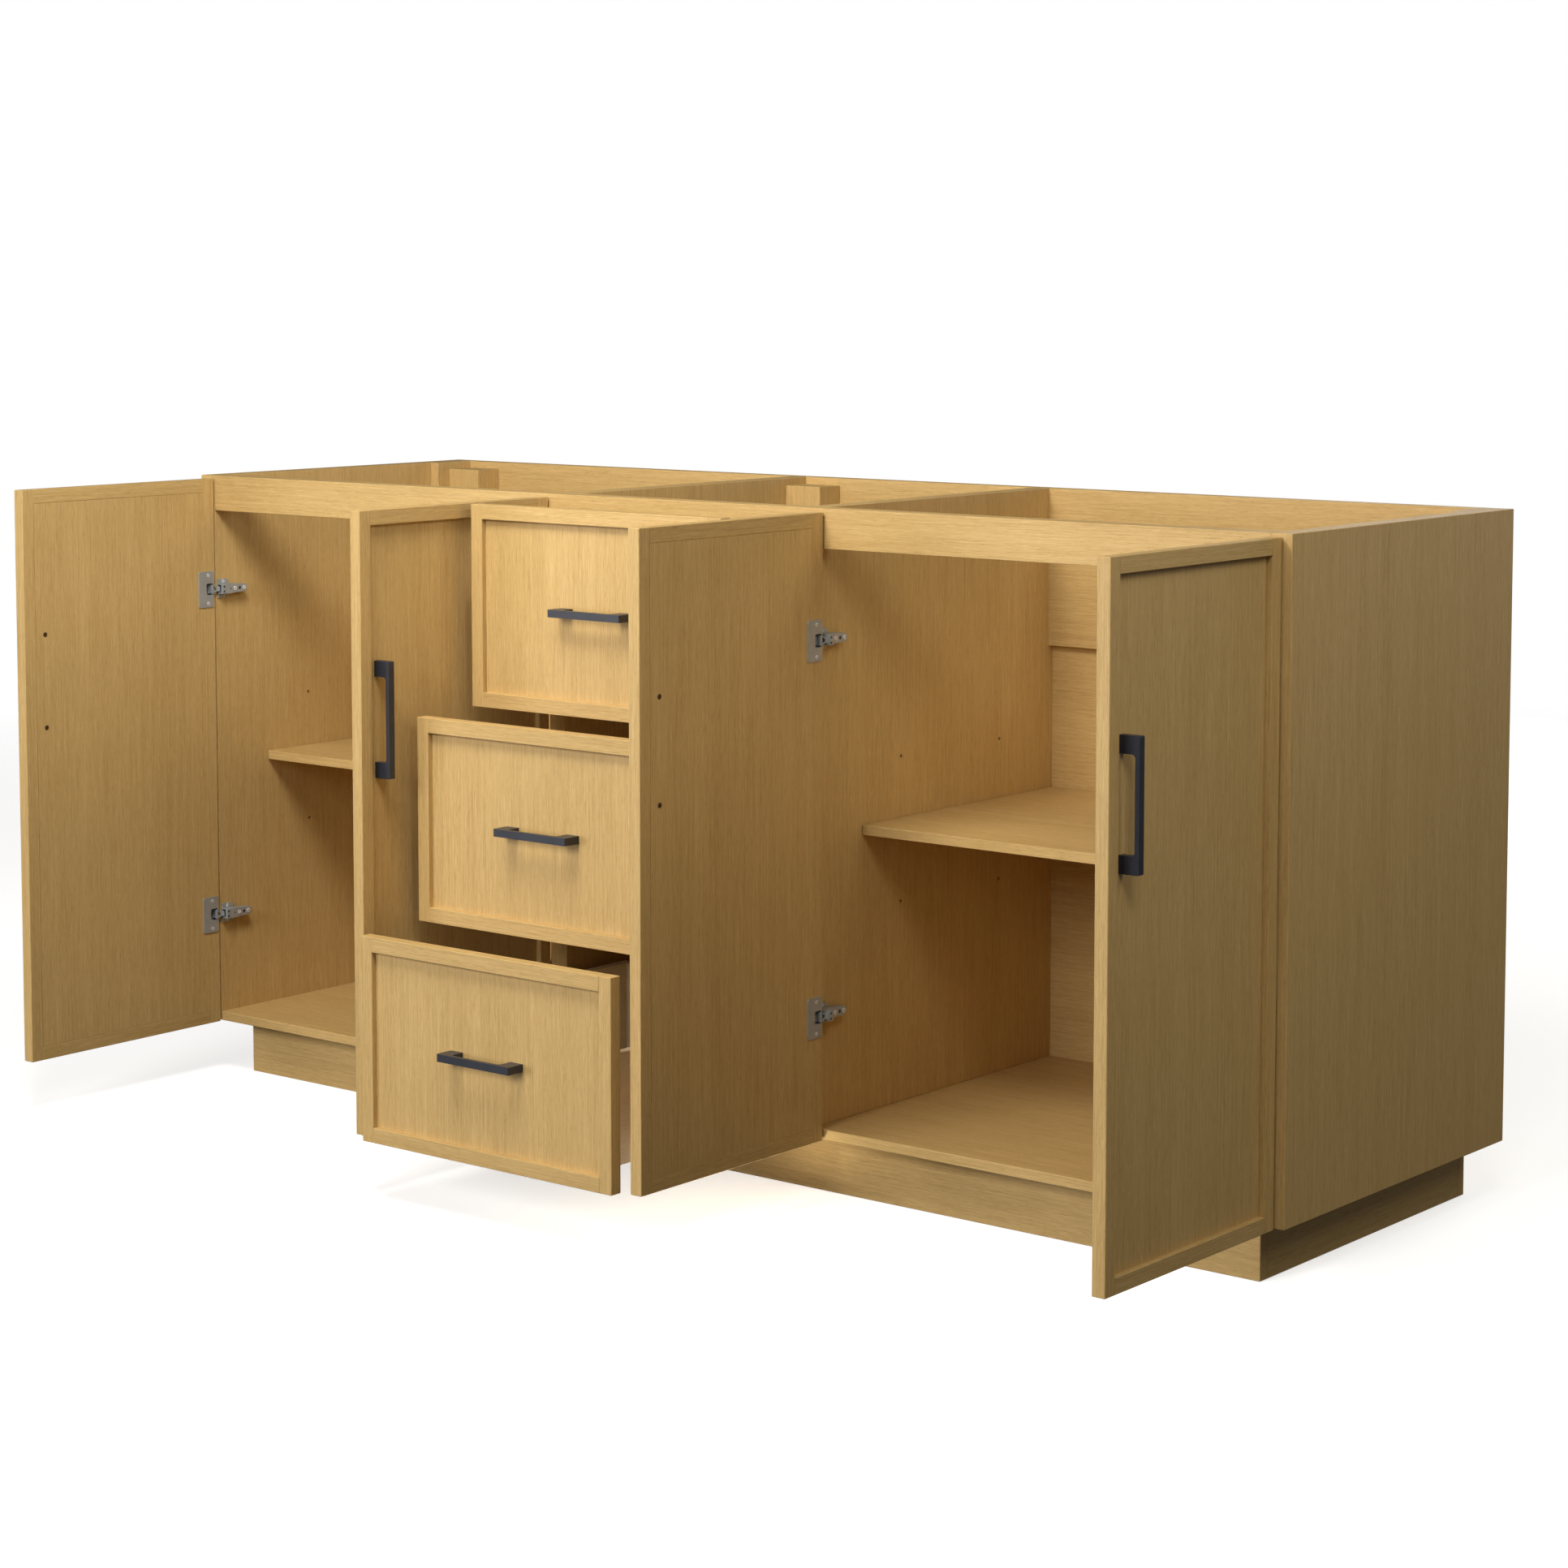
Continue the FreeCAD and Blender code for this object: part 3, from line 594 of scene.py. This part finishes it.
# Outlines of the arm and its plate: mm from the arm's front end, and mm above its middle.
ARM_PLATE = [(1.5, 0), (1.5, 13.5), (4, 13.5), (19, 13.5), (21, 11),
             (21, 0), (21, -11), (19, -13.5), (4, -13.5), (1.5, -13.5)]
ARM_TOP = both_ways([(0, 7), (9, 7), (20, 6.6), (40, 5.6), (44.5, 5), (46.5, 2.6)])
ARM_FLANGE = [(0, 7), (20, 6.6), (44, 5.2), (44, 4.0), (20, 5.4), (0, 5.8)]
ARM_RIDGE = both_ways([(9.5, 7.4), (20.5, 7.0)])
ARM_KNUCKLE = both_ways([(0.3, 6.3), (4.5, 6.6), (8.8, 6.3)])
PLATE_THICK = 2.5 * MM
ARM_HEIGHT = 14 * MM
RIDGE_HEIGHT = 14.3 * MM
HOLES = ((32.5, 0, 2.3), (3.0, 3.4, 1.5), (3.0, -3.4, 1.5), (15, 0, 1.1))  # along, up, radius, in mm


def hinge_arm_details():
    """Pressed arms with side flanges over winged mounting plates, and black discs of painted shade where
    their screw holes are.
    """
    mesh, hole_shade_discs = bmesh.new(), bmesh.new()
    for low, high in solids_of("hinge_arms"):
        facing = bay_direction((low.x + high.x) / 2)
        wall = low.x if facing > 0 else high.x
        middle = (low.z + high.z) / 2
        front = low.y
        knuckle_height = max(high.x - low.x, 14.2 * MM) - 0.1 * MM

        def place(y, z, depth):
            return (wall + facing * depth, y, z)

        def laid(points):
            return [(front + a * MM, middle + b * MM) for a, b in points]

        slab(mesh, laid(ARM_PLATE), 0, PLATE_THICK, place)
        slab(mesh, laid(ARM_TOP), ARM_HEIGHT - 1.6 * MM, ARM_HEIGHT, place)
        for up in (-1, 1):
            slab(mesh, laid([(a, up * b) for a, b in ARM_FLANGE]), PLATE_THICK, 12.6 * MM, place)
        slab(mesh, laid(ARM_RIDGE), 11.0 * MM, RIDGE_HEIGHT, place)
        slab(mesh, laid(ARM_KNUCKLE), 10 * MM, knuckle_height, place)
        for y, z, radius in HOLES:
            # Each hole is a thin black disc on the arm: painted shade, not a hole cut in it.
            height = knuckle_height if y < 5 else RIDGE_HEIGHT if y < 21 else ARM_HEIGHT
            disc = [(y + radius * math.cos(k * math.pi / 10), z + radius * math.sin(k * math.pi / 10))
                    for k in range(20)]
            slab(hole_shade_discs, laid(disc), height - 0.4 * MM, height + 0.06 * MM, place)
    piece = new_piece("hinge_arm_details", mesh, NICKEL, "case", 0.35 * MM)
    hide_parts("hinge_arms")
    new_piece("hinge_arm_painted_hole_shade", hole_shade_discs, HOLE_SHADE, "case")


for door in "1234":
    hinge_cup(door)
    hinge_fan(door)
hinge_arm_details()


CHANNEL_GAUGE = 1.1 * MM
CHANNEL_CORNER = 1.2 * MM
CHANNEL_LIP = 5 * MM


def channel(mesh, low, high, lean):
    """A rolled steel channel along Y inside a box. lean is the side of its web, -1 or 1."""
    web, mouth = (low.x, high.x) if lean < 0 else (high.x, low.x)
    step = math.copysign(CHANNEL_GAUGE, mouth - web)
    middle = (low.z + high.z) / 2
    half = (high.z - low.z) / 2
    inner = half - CHANNEL_GAUGE
    profile = [(web, half - CHANNEL_CORNER), (web + step, half), (mouth, half),
               (mouth, half - CHANNEL_LIP), (mouth - step, half - CHANNEL_LIP), (mouth - step, inner),
               (web + step, inner - CHANNEL_CORNER)]
    outline = [(x, middle - drop) for x, drop in profile]
    outline += [(x, middle + drop) for x, drop in reversed(profile)]
    slab(mesh, outline, low.y, high.y, lambda x, z, y: (x, y, z))


def slides(node, name, body, web_outside):
    """Rolled channels in place of a node's plain bars. web_outside: the closed side faces the divider."""
    mesh = bmesh.new()
    for low, high in solids_of(node):
        side = math.copysign(1, (low.x + high.x) / 2)
        channel(mesh, low, high, side if web_outside else -side)
    piece = new_piece(name, mesh, NICKEL, body, 0.15 * MM)
    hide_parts(node)


slides("drawer_slide_rails", "drawer_slide_fixed_channels", "case", True)
for drawer in "123":
    slides(f"drawer_{drawer}_slide_middle", f"drawer_{drawer}_middle_channels",
           f"drawer_{drawer}_runner", True)
    slides(f"drawer_{drawer}_slide_inner", f"drawer_{drawer}_inner_channels", f"drawer_{drawer}", False)


# ---------------------------------------------------------------- studio

def plane(name, centre, size, material):
    mesh = bmesh.new()
    half = size / 2
    corners = [mesh.verts.new((centre[0] + sx * half, centre[1] + sy * half, centre[2]))
               for sx, sy in ((-1, -1), (1, -1), (1, 1), (-1, 1))]
    mesh.faces.new(corners)
    data = bpy.data.meshes.new(name)
    mesh.to_mesh(data)
    mesh.free()
    data.materials.append(material)
    piece = bpy.data.objects.new(name, data)
    bpy.context.scene.collection.objects.link(piece)
    return piece


def floor_material():
    """A pale table, softly lit from within, that fades into the background away from the object."""
    material, tree, shader = new_material("studio_floor")
    point = place_in(tree)
    mottle = noise(tree, vector_node(tree, "MULTIPLY", point, (3, 3, 3)), 4.0)
    colour = ramp(tree, mottle, ((0.2, (0.90, 0.90, 0.90)), (0.8, (0.93, 0.93, 0.93))))
    link(tree, colour, shader.inputs["Base Color"])
    shader.inputs["Roughness"].default_value = 0.9
    shader.inputs["Specular IOR Level"].default_value = 0.1
    shader.inputs["Emission Color"].default_value = (1, 1, 1, 1)
    shader.inputs["Emission Strength"].default_value = 0.62
    x, y, _ = split(tree, point)
    squares = math_node(tree, "ADD", math_node(tree, "MULTIPLY", x, x), math_node(tree, "MULTIPLY", y, y))
    away = math_node(tree, "SQRT", squares)
    link(tree, remap(tree, away, 2.4, 5.0, 1.0, 0.0), shader.inputs["Alpha"])
    return material


FLOOR = plane("studio_floor", (0, 0, -0.0005), 16, floor_material())
FLOOR.visible_diffuse = False
FLOOR.visible_glossy = False


def area_light(name, place, aim, size, power, colour):
    data = bpy.data.lights.new(name, "AREA")
    data.shape = "RECTANGLE"
    data.size, data.size_y = size
    data.energy = power
    data.color = colour
    lamp = bpy.data.objects.new(name, data)
    lamp.location = place
    lamp.rotation_euler = (Vector(aim) - Vector(place)).to_track_quat("-Z", "Y").to_euler()
    bpy.context.scene.collection.objects.link(lamp)
    return lamp


MIDDLE = (0, 0, 0.45)
GAP = (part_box("drawer_3_box")[1].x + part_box("door_3_panel")[0].x) / 2
area_light("key", (0.0, -6.5, 3.0), MIDDLE, (3.0, 2.0), 226, (1.0, 0.99, 0.97))
area_light("low_left", (-2.2, -4.5, 0.7), MIDDLE, (1.5, 1.2), 58, (1.0, 0.99, 0.97))
area_light("near_left", (0.05, -1.15, 1.9), (-0.8, -0.45, 0.5), (0.6, 0.6), 22, (1.0, 0.98, 0.92))
area_light("near_right", (1.7, -1.3, 1.9), (0.9, -0.3, 0.7), (0.6, 0.6), 9.5, (1.0, 0.97, 0.90))
area_light("side", (2.8, 0.3, 2.3), (0.9, 0.0, 0.45), (1.2, 1.2), 16, (1.0, 0.96, 0.84))
# A small strip lamp under the gap beside drawer 3, hidden from the camera: that strip was too dark.
bounce = area_light("floor_bounce", (GAP, -0.42, 0.01), (GAP, -0.42, 1.0), (0.02, 0.24), 0.5,
                    (1.0, 0.98, 0.94))
bounce.visible_camera = False
bounce.visible_glossy = False
area_light("rear", (0.0, 4.5, 1.2), (0, 0, 0.5), (4.0, 1.6), 60, (1.0, 1.0, 1.0))


def surroundings(seen, given):
    """A white background as seen by the camera, which lights the object more softly."""
    world = bpy.data.worlds.new("studio")
    bpy.context.scene.world = world
    world.use_nodes = True
    tree = world.node_tree
    tree.nodes.clear()
    output = tree.nodes.new("ShaderNodeOutputWorld")
    background = tree.nodes.new("ShaderNodeBackground")
    ray = tree.nodes.new("ShaderNodeLightPath").outputs["Is Camera Ray"]
    tint = mix_colours(tree, ray, (1.0, 0.96, 0.86, 1.0), (1.0, 1.0, 1.0, 1.0))
    link(tree, tint, background.inputs["Color"])
    link(tree, remap(tree, ray, 0.0, 1.0, given, seen), background.inputs["Strength"])
    link(tree, background.outputs[0], output.inputs["Surface"])


surroundings(1.0, 0.078)


def camera():
    data = bpy.data.cameras.new("camera")
    data.sensor_width = 36
    data.lens = 79.93
    data.shift_y = -0.1368
    data.clip_end = 100
    piece = bpy.data.objects.new("camera", data)
    piece.location = (2.887, -3.6223, 1.158)
    piece.rotation_euler = Euler((math.radians(85.118), 0, math.radians(38.929)))
    bpy.context.scene.collection.objects.link(piece)
    bpy.context.scene.camera = piece


camera()
bpy.context.scene.view_settings.view_transform = "Standard"
